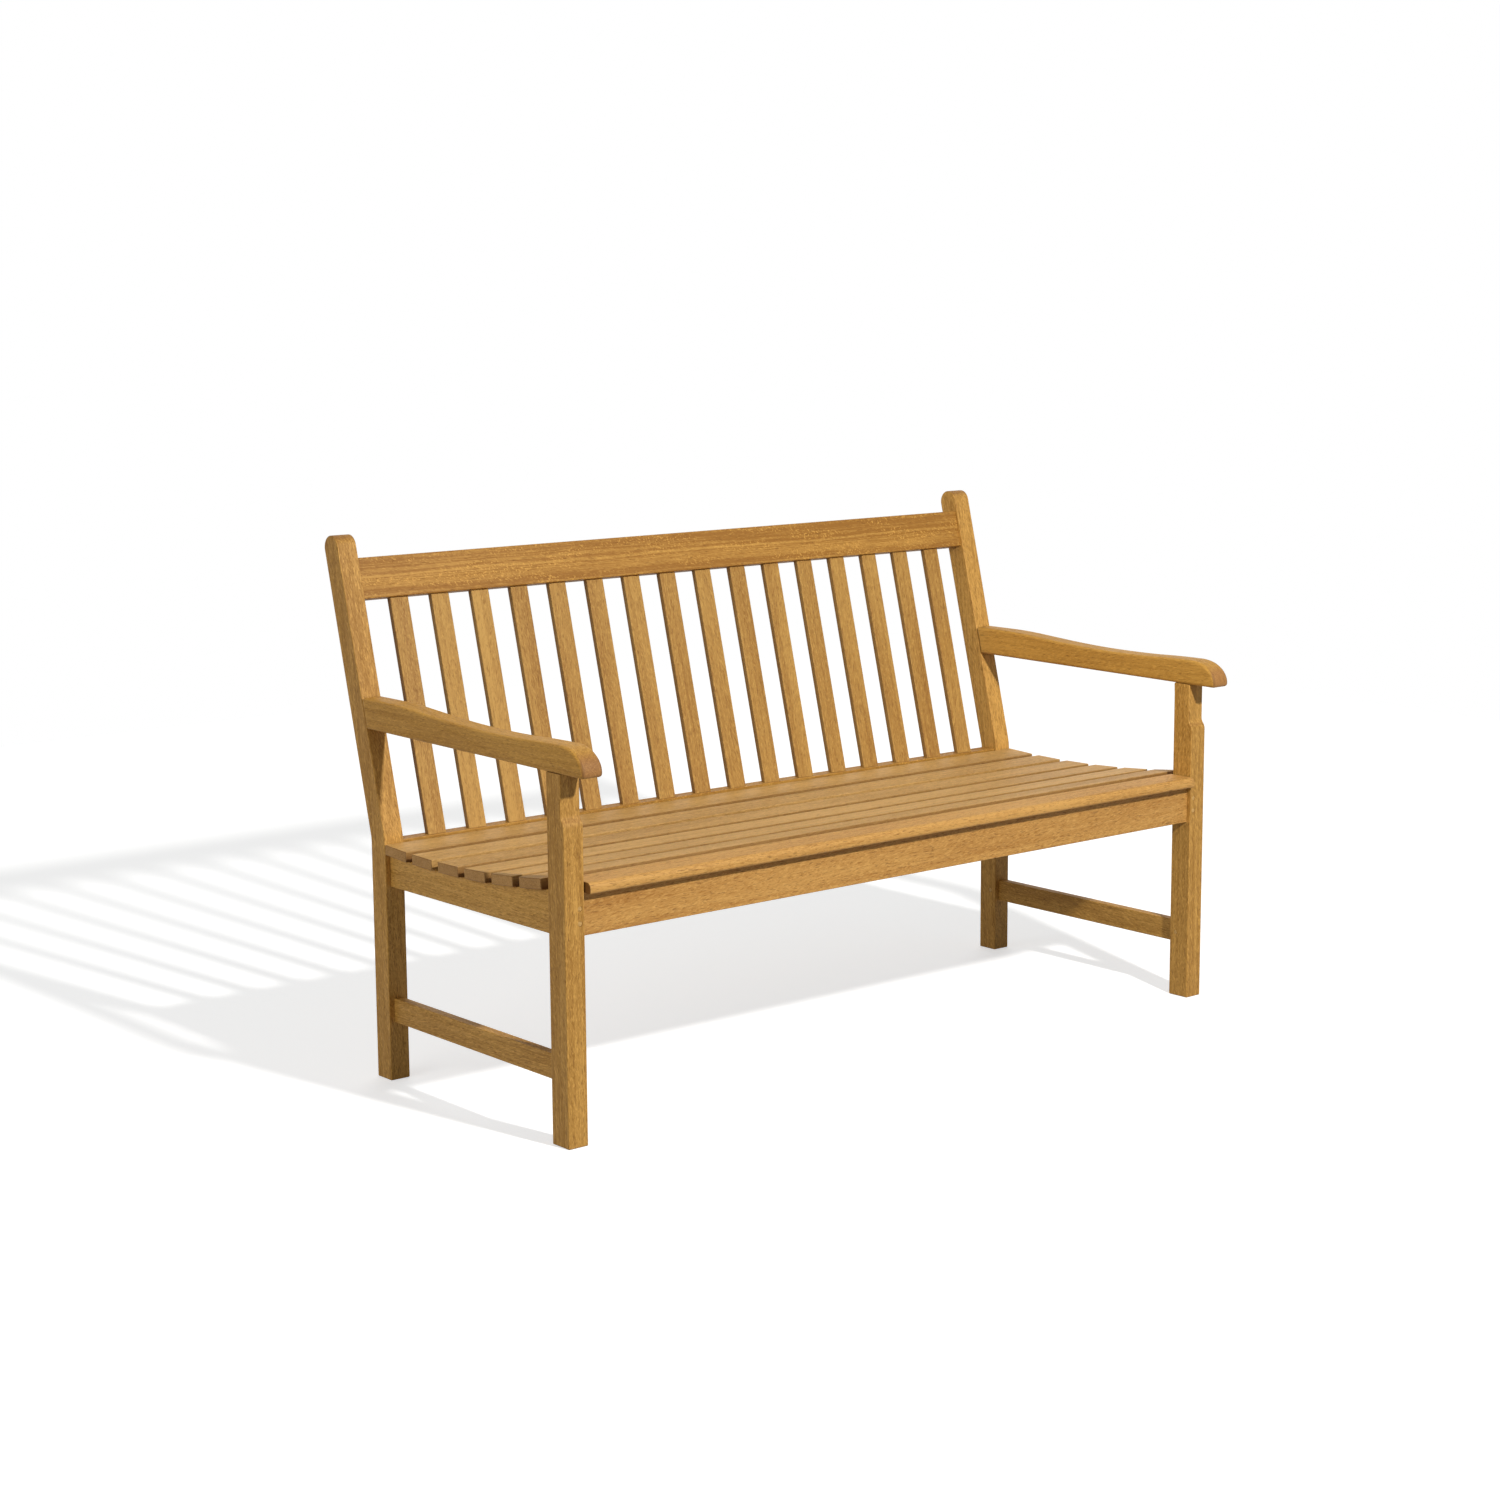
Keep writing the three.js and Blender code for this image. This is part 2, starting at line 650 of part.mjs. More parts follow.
// The space of one back slat in the raked frame, grown by the slack.
function backSlatBlock(x, slack = 0) {
  const width = about(x, BACK_SLAT_WIDTH);
  return block(width, about(backRailMiddle, BACK_SLAT_THICKNESS), [slatFoot, slatHead], slack);
}

function lowerBackRail() {
  const body = block(
    [-innerFace + FIT, innerFace - FIT],
    [lowerRailFront, lowerRailFront + BACK_RAIL_THICKNESS],
    [lowerRailUnderside, lowerRailTop],
  );
  const housings = backSlatCentres.map((x) => backSlatBlock(x, FIT).applyMatrix4(raked));
  return worked(
    body,
    [tenonBlock(lowerRailTenons)],
    [...housings, mortiseBlock(bearerTenons), ...holesFor('lower_rail')],
  );
}

// The top rail is worked in the raked frame, so its peg holes are turned back into it.
function topBackRail() {
  const body = block(
    [-innerFace + FIT, innerFace - FIT],
    [BACK_RAIL_RECESS, BACK_RAIL_RECESS + BACK_RAIL_THICKNESS],
    [topRailBottom, topRailTop],
  );
  const unrake = raked.clone().invert();
  const holes = holesFor('top_rail').map((hole) => hole.applyMatrix4(unrake));
  const housings = backSlatCentres.map((x) => backSlatBlock(x, FIT));
  return worked(body, [tenonBlock(topRailTenons)], [...housings, ...holes]);
}

function back() {
  const frame = new THREE.Group();
  frame.add(piece('lower_back_rail', lowerBackRail(), DARK));
  const rakedFrame = new THREE.Group();
  rakedFrame.applyMatrix4(raked);
  rakedFrame.add(piece('top_back_rail', topBackRail(), LIGHT));
  const slat = backSlatBlock(0);
  backSlatCentres.forEach((x, index) => {
    const number = String(index + 1).padStart(2, '0');
    const mesh = piece(`back_slat_${number}`, slat, DARK);
    mesh.position.x = x;
    rakedFrame.add(mesh);
  });
  frame.add(rakedFrame);
  return frame;
}

// ---------------------------------------------------------------- bench

const bench = new THREE.Group();
for (const [side, name] of SIDES) {
  bench.add(sideFrame(side, name));
}
bench.add(seat());
bench.add(back());
for (const peg of pegs) {
  bench.add(piece(peg.name, pegShape(peg.head, peg.direction, peg.length), PEG_SHADE));
}

// The origin is on the floor, under the middle of the whole bench.
bench.updateMatrixWorld(true);
const middle = new THREE.Box3().setFromObject(bench).getCenter(new THREE.Vector3());
bench.position.set(-middle.x, -middle.y, 0);

export default bench;
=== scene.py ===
"""Looks of a slatted hardwood garden bench: eased boards, pegs, timber finishes, floor, light and camera.

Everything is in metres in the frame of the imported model: +X along the bench, +Y to its back, +Z up.
Each board is worked from its node of the frame, so no place or size is repeated here: its arrises are
eased, its faces get the run of the grain, and its finish is a solid timber that shows growth rings,
fibres, rays and pores on the long faces and on the end grain alike.
"""

import logging
import math
import random
from dataclasses import dataclass, field
from enum import Enum

import bmesh
import bpy
from mathutils import Matrix, Vector
from mathutils.bvhtree import BVHTree


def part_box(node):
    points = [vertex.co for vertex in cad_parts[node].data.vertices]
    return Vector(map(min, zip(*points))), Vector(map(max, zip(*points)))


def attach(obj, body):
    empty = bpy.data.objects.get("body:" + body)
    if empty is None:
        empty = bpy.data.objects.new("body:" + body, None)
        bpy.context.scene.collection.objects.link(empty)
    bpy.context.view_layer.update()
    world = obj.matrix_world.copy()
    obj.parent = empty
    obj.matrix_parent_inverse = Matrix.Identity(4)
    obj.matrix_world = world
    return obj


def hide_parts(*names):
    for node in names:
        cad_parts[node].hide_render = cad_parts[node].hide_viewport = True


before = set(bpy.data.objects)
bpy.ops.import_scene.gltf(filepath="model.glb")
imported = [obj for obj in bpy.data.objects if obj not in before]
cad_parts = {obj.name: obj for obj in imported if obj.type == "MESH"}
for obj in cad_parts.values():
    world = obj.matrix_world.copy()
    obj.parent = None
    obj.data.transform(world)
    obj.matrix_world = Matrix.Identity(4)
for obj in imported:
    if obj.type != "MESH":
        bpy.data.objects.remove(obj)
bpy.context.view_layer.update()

BODY = "root"
MM = 0.001
LENGTHWISE = Vector((1, 0, 0))
DEPTHWISE = Vector((0, 1, 0))
UPRIGHT = Vector((0, 0, 1))
LOG = logging.getLogger("garden_bench")

Colour = tuple[float, float, float]
Socket = bpy.types.NodeSocket
Value = Socket | Colour | float


def linear(value: int) -> float:
    """The linear share of one channel of a paint-card colour, given from 0 to 255."""
    share = value / 255
    return share / 12.92 if share <= 0.04045 else ((share + 0.055) / 1.055) ** 2.4


def tone(red: int, green: int, blue: int) -> Colour:
    """The linear colour of a paint-card colour with channels from 0 to 255."""
    return linear(red), linear(green), linear(blue)


def lightened(colour: Colour, gain: float) -> Colour:
    """A colour made lighter by a gain, at most up to white."""
    return tuple(min(1.0, gain * value) for value in colour)


class Side(Enum):
    """The two ends of the bench, as someone looking at its front sees them."""

    LEFT = "left"
    RIGHT = "right"


class Slot(Enum):
    """Names of material slots, which no piece here uses."""

    FRAME = "frame_wood"
    ARM = "arm_wood"
    BACK_RAIL = "back_rail_wood"
    BACK_SLAT = "back_slat_wood"
    SEAT = "seat_wood"
    PEG = "peg_wood"


class Cut(Enum):
    """How a board was cut from the log: the distance from its middle to the heart, in metres."""

    NEAR_HEART = (0.030, 0.050)
    PLAIN = (0.050, 0.090)
    OUTER = (0.090, 0.150)


class Mark(Enum):
    """What a board's mesh says about its surface, from 0 to 1 except the tone, which may be below 0."""

    ARRIS = "arris"
    END_GRAIN = "end_grain"
    # Painted shade on the narrow long faces of slats, in the gaps between them
    GAP_SHADE = "painted_gap_shade"
    BOARD_TONE = "board_tone"


# ---------------------------------------------------------------- shader node graphs


@dataclass(frozen=True)
class Streaks:
    """A noise drawn out along the grain.

    Along and across count its features to the metre. The shift keeps one noise apart from another. The
    limits are those of the smooth step that some effects take from it.
    """

    along: float
    across: float
    shift: tuple[float, float, float] = (0.0, 0.0, 0.0)
    detail: float = 2.0
    rough: float = 0.5
    low: float = 0.3
    high: float = 0.7


class Graph:
    """Adds nodes to a node tree and links them."""

    def __init__(self, tree: bpy.types.NodeTree) -> None:
        """Takes the tree that the nodes go into."""
        self.tree = tree

    def add(self, kind: str, inputs: dict | None = None, **settings: object) -> bpy.types.Node:
        """Adds one node.

        Args:
            kind: The node's type, without its ShaderNode prefix for a shader node.
            inputs: Socket names or numbers, with a value or a socket to link from.
            settings: Properties to set on the node.

        Returns:
            The new node.
        """
        known = kind if kind.startswith("NodeGroup") else f"ShaderNode{kind}"
        node = self.tree.nodes.new(known)
        for name, value in settings.items():
            setattr(node, name, value)
        for name, value in (inputs or {}).items():
            self.feed(node.inputs[name], value)
        return node

    def feed(self, socket: Socket, value: Value) -> None:
        """Links a socket to an input, or sets the input's own value.

        Args:
            socket: The input.
            value: The socket to link from, or the value.
        """
        if isinstance(value, Socket):
            self.tree.links.new(value, socket)
        elif isinstance(value, tuple) and socket.type == "RGBA":
            socket.default_value = (*value, 1.0)
        else:
            socket.default_value = value

    def place(self, effect: bpy.types.NodeTree, inputs: dict[str, Value]) -> bpy.types.Node:
        """Places a shared effect with its own values; returns its node."""
        return self.add("Group", inputs, node_tree=effect)

    def math(self, operation: str, *values: Value, clamp: bool = False) -> Socket:
        """One arithmetic step on numbers or sockets; returns its result."""
        node = self.add("Math", dict(enumerate(values)), operation=operation, use_clamp=clamp)
        return node.outputs[0]

    def product(self, first: Value, second: Value) -> Socket:
        """Two values multiplied."""
        return self.math("MULTIPLY", first, second)

    def vector(self, operation: str, *values: Value) -> bpy.types.Node:
        """One step on vectors; returns its node."""
        return self.add("VectorMath", dict(enumerate(values)), operation=operation)

    def band(self, value: Value, low: Value, high: Value) -> Socket:
        """A smooth step of a value from 0 at low to 1 at high."""
        node = self.add("MapRange", {0: value, 1: low, 2: high}, interpolation_type="SMOOTHSTEP")
        return node.outputs[0]

    def mix(self, share: Value, first: Value, second: Value) -> Socket:
        """Two colours mixed by a share.

        Args:
            share: How much of the second colour there is, from 0 to 1.
            first: The first colour.
            second: The second colour.

        Returns:
            The mixed colour.
        """
        node = self.add("Mix", data_type="RGBA")
        self.feed(node.inputs["Factor"], share)
        self.feed(node.inputs["A"], first)
        self.feed(node.inputs["B"], second)
        return node.outputs["Result"]

    def noise(self, timber: Socket, streaks: Streaks) -> Socket:
        """A noise drawn out along the grain.

        Args:
            timber: Where a point lay in the log, with the grain along X.
            streaks: The noise's size, place and detail.

        Returns:
            A value from 0 to 1.
        """
        scale = (streaks.along, streaks.across, streaks.across)
        scaled = self.vector("MULTIPLY", timber, scale).outputs[0]
        shifted = self.vector("ADD", scaled, streaks.shift).outputs[0]
        inputs = {"Vector": shifted, "Scale": 1.0, "Detail": streaks.detail, "Roughness": streaks.rough}
        return self.add("TexNoise", inputs).outputs[0]

    def stepped(self, timber: Socket, streaks: Streaks) -> Socket:
        """A noise drawn out along the grain, as a smooth step between its limits."""
        return self.band(self.noise(timber, streaks), streaks.low, streaks.high)

    def line_noise(self, place: Socket, detail: float, rough: float = 0.5) -> Socket:
        """A noise that changes along one number only."""
        inputs = {"W": place, "Scale": 1.0, "Detail": detail, "Roughness": rough}
        return self.add("TexNoise", inputs, noise_dimensions="1D").outputs[0]

    def sheared(self, timber: Socket, shear: Socket, operation: str) -> Socket:
        """Shears the log's own frame.

        Args:
            timber: Where a point lay in the log.
            shear: What is added to the second coordinate.
            operation: ADD or SUBTRACT, for the same change to the third coordinate.

        Returns:
            The sheared place.
        """
        parts = self.add("SeparateXYZ", {0: timber}).outputs
        coordinates = {
            0: parts[0],
            1: self.math("ADD", parts[1], shear),
            2: self.math(operation, parts[2], shear),
        }
        return self.add("CombineXYZ", coordinates).outputs[0]


def new_group(name: str, inputs: dict[str, tuple[str, float | None]],
              outputs: tuple[str, ...]) -> tuple[Graph, bpy.types.Node, bpy.types.Node]:
    """Makes an empty shader node group.

    Args:
        name: The group's name.
        inputs: Each input's name with its socket type and first value.
        outputs: The names of the outputs, which are all numbers.

    Returns:
        The group's Graph, its input node and its output node.
    """
    tree = bpy.data.node_groups.new(name, "ShaderNodeTree")
    for label, (kind, value) in inputs.items():
        socket = tree.interface.new_socket(label, in_out="INPUT", socket_type=f"NodeSocket{kind}")
        if value is not None:
            socket.default_value = value
    for label in outputs:
        tree.interface.new_socket(label, in_out="OUTPUT", socket_type="NodeSocketFloat")
    graph = Graph(tree)
    return graph, graph.add("NodeGroupInput"), graph.add("NodeGroupOutput")


# ---------------------------------------------------------------- shared effects


@dataclass(frozen=True)
class GrowthRings:
    """Growth rings round the heart of the log, which runs along X; bands of uneven width and strength."""

    warp: Streaks = Streaks(3.2, 22.0, detail=3.0)
    line_detail: float = 3.0
    line_rough: float = 0.6
    line_limits: tuple[float, float] = (0.42, 0.66)
    season: float = 0.16
    season_detail: float = 1.0
    season_limits: tuple[float, float] = (0.3, 0.7)

    def group(self) -> bpy.types.NodeTree:
        """Builds the effect.

        Returns:
            A node group that gives the narrow bands and the broad change of shade between seasons.
        """
        inputs = {"Timber": ("Vector", None), "Spacing": ("Float", 0.006), "Wander": ("Float", 0.004)}
        graph, given, result = new_group("growth_rings", inputs, ("Bands", "Shade"))
        timber = given.outputs["Timber"]
        parts = graph.add("SeparateXYZ", {0: timber}).outputs
        section = graph.add("CombineXYZ", {1: parts[1], 2: parts[2]}).outputs[0]
        radius = graph.vector("LENGTH", section).outputs["Value"]
        warp = graph.math("SUBTRACT", graph.noise(timber, self.warp), 0.5)
        wandered = graph.math("ADD", radius, graph.product(warp, given.outputs["Wander"]))
        phase = graph.math("DIVIDE", wandered, given.outputs["Spacing"])
        lines = graph.line_noise(phase, self.line_detail, self.line_rough)
        seasons = graph.line_noise(graph.product(phase, self.season), self.season_detail)
        graph.feed(result.inputs["Bands"], graph.band(lines, *self.line_limits))
        graph.feed(result.inputs["Shade"], graph.band(seasons, *self.season_limits))
        return graph.tree


@dataclass(frozen=True)
class FibresAndPores:
    """Fibres and open pores drawn out along the grain; on the end grain they show as dots."""

    fine: Streaks = Streaks(14.0, 520.0, detail=3.0, rough=0.6)
    broad: Streaks = Streaks(4.0, 130.0, (7.1, 3.3, 1.9), detail=3.0)
    fine_share: float = 0.55
    broad_share: float = 0.45
    fibre_limits: tuple[float, float] = (0.36, 0.64)
    pores: Streaks = Streaks(75.0, 640.0, (2.3, 9.1, 4.7), detail=1.0)
    rarest_pore: float = 0.74
    pore_reach: float = 0.16
    pore_edge: float = 0.07
    mottle: Streaks = Streaks(2.2, 16.0, (5.5, 2.2, 8.8))

    def group(self) -> bpy.types.NodeTree:
        """Builds the effect.

        Returns:
            A node group that gives the fibres, the pores and a broad mottle.
        """
        inputs = {"Timber": ("Vector", None), "Pore Share": ("Float", 0.5)}
        graph, given, result = new_group("fibres_and_pores", inputs, ("Fibres", "Pores", "Mottle"))
        timber = given.outputs["Timber"]
        fine = graph.product(graph.noise(timber, self.fine), self.fine_share)
        broad = graph.product(graph.noise(timber, self.broad), self.broad_share)
        fibres = graph.band(graph.math("ADD", fine, broad), *self.fibre_limits)
        reach = graph.product(given.outputs["Pore Share"], self.pore_reach)
        low = graph.math("SUBTRACT", self.rarest_pore, reach)
        high = graph.math("ADD", low, self.pore_edge)
        graph.feed(result.inputs["Fibres"], fibres)
        graph.feed(result.inputs["Pores"], graph.band(graph.noise(timber, self.pores), low, high))
        graph.feed(result.inputs["Mottle"], graph.stepped(timber, self.mottle))
        return graph.tree


@dataclass(frozen=True)
class GrainDashes:
    """Short pale and dark dashes along the grain, a few millimetres wide, leaning to either side."""

    sway: Streaks = Streaks(6.0, 40.0, (4.4, 8.1, 0.6), detail=1.0)
    sway_reach: float = 0.012
    pale: Streaks = Streaks(85.0, 410.0, rough=0.6, low=0.50, high=0.66)
    dark: Streaks = Streaks(70.0, 460.0, (6.2, 1.5, 7.7), rough=0.6, low=0.52, high=0.68)

    def group(self) -> bpy.types.NodeTree:
        """Builds the effect.

        Returns:
            A node group that gives the pale and the dark dashes.
        """
        inputs = {"Timber": ("Vector", None), "Lean": ("Float", 0.12)}
        graph, given, result = new_group("grain_dashes", inputs, ("Pale", "Dark"))
        timber = given.outputs["Timber"]
        sway = graph.math("SUBTRACT", graph.noise(timber, self.sway), 0.5)
        along = graph.add("SeparateXYZ", {0: timber}).outputs[0]
        lean = graph.product(along, given.outputs["Lean"])
        lean = graph.math("ADD", lean, graph.product(sway, self.sway_reach))
        leant = graph.sheared(timber, lean, "SUBTRACT")
        graph.feed(result.inputs["Pale"], graph.stepped(leant, self.pale))
        graph.feed(result.inputs["Dark"], graph.stepped(leant, self.dark))
        return graph.tree


@dataclass(frozen=True)
class RayFlecks:
    """Pale ray flecks that lie aslant over the grain, in drifts."""

    flecks: Streaks = Streaks(70.0, 300.0, low=0.54, high=0.66)
    drifts: Streaks = Streaks(7.0, 45.0, (1.7, 6.1, 3.9), low=0.40, high=0.60)

    def group(self) -> bpy.types.NodeTree:
        """Builds the effect.

        Returns:
            A node group that gives the flecks.
        """
        inputs = {"Timber": ("Vector", None), "Slant": ("Float", 0.55)}
        graph, given, result = new_group("ray_flecks", inputs, ("Flecks",))
        timber = given.outputs["Timber"]
        along = graph.add("SeparateXYZ", {0: timber}).outputs[0]
        slant = graph.product(along, given.outputs["Slant"])
        flecks = graph.stepped(graph.sheared(timber, slant, "ADD"), self.flecks)
        graph.feed(result.inputs["Flecks"], graph.product(flecks, graph.stepped(timber, self.drifts)))
        return graph.tree


@dataclass(frozen=True)
class RubbedArrises:
    """Rubbed arrises: the arris mark of a board, broken up by a fine noise."""

    patches: Streaks = Streaks(28.0, 90.0, detail=3.0, low=0.3, high=0.62)

    def group(self) -> bpy.types.NodeTree:
        """Builds the effect.

        Returns:
            A node group that gives the wear.
        """
        inputs = {"Arris": ("Float", 0.0), "Timber": ("Vector", None), "Amount": ("Float", 0.5)}
        graph, given, result = new_group("rubbed_arrises", inputs, ("Wear",))
        patches = graph.stepped(given.outputs["Timber"], self.patches)
        broken = graph.product(given.outputs["Arris"], patches)
        wear = graph.math("MULTIPLY", broken, given.outputs["Amount"], clamp=True)
        graph.feed(result.inputs["Wear"], wear)
        return graph.tree


@dataclass
class Effects:
    """The effects that the finishes share, each built once."""

    rings: bpy.types.NodeTree = field(default_factory=GrowthRings().group)
    fibres: bpy.types.NodeTree = field(default_factory=FibresAndPores().group)
    dashes: bpy.types.NodeTree = field(default_factory=GrainDashes().group)
    rays: bpy.types.NodeTree = field(default_factory=RayFlecks().group)
    wear: bpy.types.NodeTree = field(default_factory=RubbedArrises().group)


# ---------------------------------------------------------------- finishes


@dataclass(frozen=True)
class TimberFinish:
    """Oiled hardwood of one part of the bench.

    Colours are linear. Spacing, wander and relief are in metres; depths and shares go from 0 to 1.
    """

    name: str
    pale: Colour
    deep: Colour
    pore: Colour = tone(96, 58, 20)
    end: Colour = tone(150, 104, 50)
    ring_spacing: float = 0.006
    ring_wander: float = 0.006
    ring_depth: float = 0.20
    fibre_depth: float = 0.28
    mottle_depth: float = 0.30
    dash_depth: float = 0.45
    pore_depth: float = 0.5
    pore_share: float = 0.6
    ray_depth: float = 0.2
    end_depth: float = 0.6
    end_figure: float = 0.6
    end_rim: float = 0.8
    # How dark the painted shade on the narrow long faces of slats is, for the gaps between them, from 0 to
    # 1
    gap_shade_depth: float = 0.0
    wear: float = 0.10
    rubbed_gain: float = 1.15
    roughness: float = 0.55
    fibre_roughness: float = 0.08
    pore_roughness: float = 0.2
    ring_height: float = 0.35
    fibre_height: float = 0.3
    relief: float = 0.00022
    relief_strength: float = 0.6
    gloss: float = 0.35

    def material(self, effects: Effects) -> bpy.types.Material:
        """Builds the finish.

        Args:
            effects: The shared node groups.

        Returns:
            A new material.
        """
        material = bpy.data.materials.new(self.name)
        material.use_nodes = True
        material.node_tree.nodes.clear()
        graph = Graph(material.node_tree)
        figure = self._figure(graph, effects)
        shader = graph.add("BsdfPrincipled", {
            "Base Color": self._colour(graph, figure),
            "Roughness": self._roughness(graph, figure),
            "Normal": self._normal(graph, figure),
            "Specular IOR Level": self.gloss,
        })
        graph.add("OutputMaterial", {"Surface": shader.outputs[0]})
        return material

    def _figure(self, graph: Graph, effects: Effects) -> dict[str, Socket]:
        """Reads the marks of the board and places the shared effects.

        Args:
            graph: The material's graph.
            effects: The shared node groups.

        Returns:
            Every mark of the board and every output of the effects, by name.
        """
        timber = graph.add("Attribute", attribute_name="timber").outputs["Vector"]
        figure = {}
        for mark in Mark:
            figure[mark.value] = graph.add("Attribute", attribute_name=mark.value).outputs["Fac"]
        rings = {"Timber": timber, "Spacing": self.ring_spacing, "Wander": self.ring_wander}
        rubbed = {"Timber": timber, "Arris": figure["arris"], "Amount": self.wear}
        placed = (
            graph.place(effects.rings, rings),
            graph.place(effects.fibres, {"Timber": timber, "Pore Share": self.pore_share}),
            graph.place(effects.dashes, {"Timber": timber}),
            graph.place(effects.rays, {"Timber": timber}),
            graph.place(effects.wear, rubbed),
        )
        for node in placed:
            figure.update((output.name, output) for output in node.outputs)
        return figure

    def _depth(self, graph: Graph, figure: dict[str, Socket]) -> Socket:
        """How far the wood is from its pale towards its deep colour.

        Args:
            graph: The material's graph.
            figure: The marks and effects by name.

        Returns:
            A value from 0 to 1.
        """
        depth = graph.product(figure["Bands"], self.ring_depth)
        layers = (
            ("Shade", self.ring_depth),
            ("Fibres", self.fibre_depth),
            ("Mottle", self.mottle_depth),
            ("Dark", self.dash_depth),
        )
        for name, share in layers:
            depth = graph.math("ADD", depth, graph.product(figure[name], share))
        depth = graph.math("SUBTRACT", depth, graph.product(figure["Pale"], self.dash_depth))
        return graph.math("ADD", depth, figure["board_tone"], clamp=True)

    def _colour(self, graph: Graph, figure: dict[str, Socket]) -> Socket:
        """The colour of the wood: figure, rays, end grain, pores, painted gap shade with the end grain's
        dark rim, and rubbed arrises in turn.

        Args:
            graph: The material's graph.
            figure: The marks and effects by name.

        Returns:
            The colour.
        """
        depth = self._depth(graph, figure)
        rubbed = lightened(self.pale, self.rubbed_gain)
        end = graph.mix(graph.product(depth, self.end_figure), self.end, self.pore)
        rim = graph.product(graph.product(figure["arris"], figure["end_grain"]), self.end_rim)
        # Painted shade in the gaps between slats, joined with the dark rim of the end grain
        rim_and_gap_shade = graph.math("MAXIMUM", rim, graph.product(figure["painted_gap_shade"], self.gap_shade_depth))
        colour = graph.mix(depth, self.pale, self.deep)
        colour = graph.mix(graph.product(figure["Flecks"], self.ray_depth), colour, rubbed)
        colour = graph.mix(graph.product(figure["end_grain"], self.end_depth), colour, end)
        colour = graph.mix(graph.product(figure["Pores"], self.pore_depth), colour, self.pore)
        colour = graph.mix(rim_and_gap_shade, colour, self.pore)
        return graph.mix(figure["Wear"], colour, rubbed)

    def _roughness(self, graph: Graph, figure: dict[str, Socket]) -> Socket:
        """The roughness, which is greater over fibres and pores.

        Args:
            graph: The material's graph.
            figure: The marks and effects by name.

        Returns:
            The roughness.
        """
        pored = graph.product(figure["Pores"], self.pore_depth)
        rough = graph.math("ADD", self.roughness, graph.product(figure["Fibres"], self.fibre_roughness))
        return graph.math("ADD", rough, graph.product(pored, self.pore_roughness), clamp=True)

    def _normal(self, graph: Graph, figure: dict[str, Socket]) -> Socket:
        """The relief of rings, fibres and pores, which all lie below the surface.

        Args:
            graph: The material's graph.
            figure: The marks and effects by name.

        Returns:
            The normal.
        """
        rings = graph.product(figure["Bands"], -self.ring_height)
        height = graph.math("SUBTRACT", rings, graph.product(figure["Fibres"], self.fibre_height))
        height = graph.math("SUBTRACT", height, figure["Pores"])
        inputs = {"Strength": self.relief_strength, "Distance": self.relief, "Height": height}
        return graph.add("Bump", inputs).outputs[0]


FRAME_WOOD = TimberFinish("frame_timber", pale=tone(200, 152, 76), deep=tone(147, 103, 38),
                          fibre_depth=0.42, dash_depth=0.5, pore_depth=0.6)
# The dark end colour is darker end grain and painted shade: the front slat's end face lies in the shade
# beside the front leg.
APRON_WOOD = TimberFinish("apron_timber", pale=tone(201, 153, 83), deep=tone(159, 108, 45),
                          end=tone(96, 62, 24), end_depth=0.9, pore_share=0.8, ray_depth=0.35)
ARM_WOOD = TimberFinish("arm_timber", pale=tone(198, 149, 68), deep=tone(149, 103, 35),
                        end=tone(166, 116, 66), end_depth=0.8, dash_depth=0.35)
BACK_RAIL_WOOD = TimberFinish("back_rail_timber", pale=tone(193, 146, 69), deep=tone(142, 95, 29),
                              ring_spacing=0.009, ring_wander=0.012, ring_depth=0.5,
                              dash_depth=0.3, ray_depth=0.75)
# The slats' narrow long faces carry painted shade, for the gaps between the slats.
BACK_SLAT_WOOD = TimberFinish("back_slat_timber", pale=tone(182, 141, 72), deep=tone(138, 95, 36),
                              gap_shade_depth=0.5)
SEAT_WOOD = TimberFinish("seat_timber", pale=tone(206, 163, 97), deep=tone(158, 117, 57),
                         ring_spacing=0.007, gap_shade_depth=1.0)
PEG_WOOD = TimberFinish("peg_timber", pale=tone(206, 166, 104), deep=tone(176, 134, 74),
                        end=tone(200, 158, 92), ring_depth=0.1)


# ---------------------------------------------------------------- boards


def nodes_named(start: str) -> list[str]:
    """The names of the frame's nodes that start with a word, in order."""
    return sorted(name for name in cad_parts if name.startswith(start))


def centre(points: list[Vector]) -> Vector:
    """The mean of some points."""
    return sum(points, Vector()) / len(points)


def slat_rake() -> Vector:
    """The direction in which the back slats run, from foot to head.

    Returns:
        A direction of length 1.
    """
    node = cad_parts[nodes_named("back_slat_")[0]]
    corners = sorted((vertex.co for vertex in node.data.vertices), key=lambda corner: corner.z)
    half = len(corners) // 2
    return (centre(corners[half:]) - centre(corners[:half])).normalized()


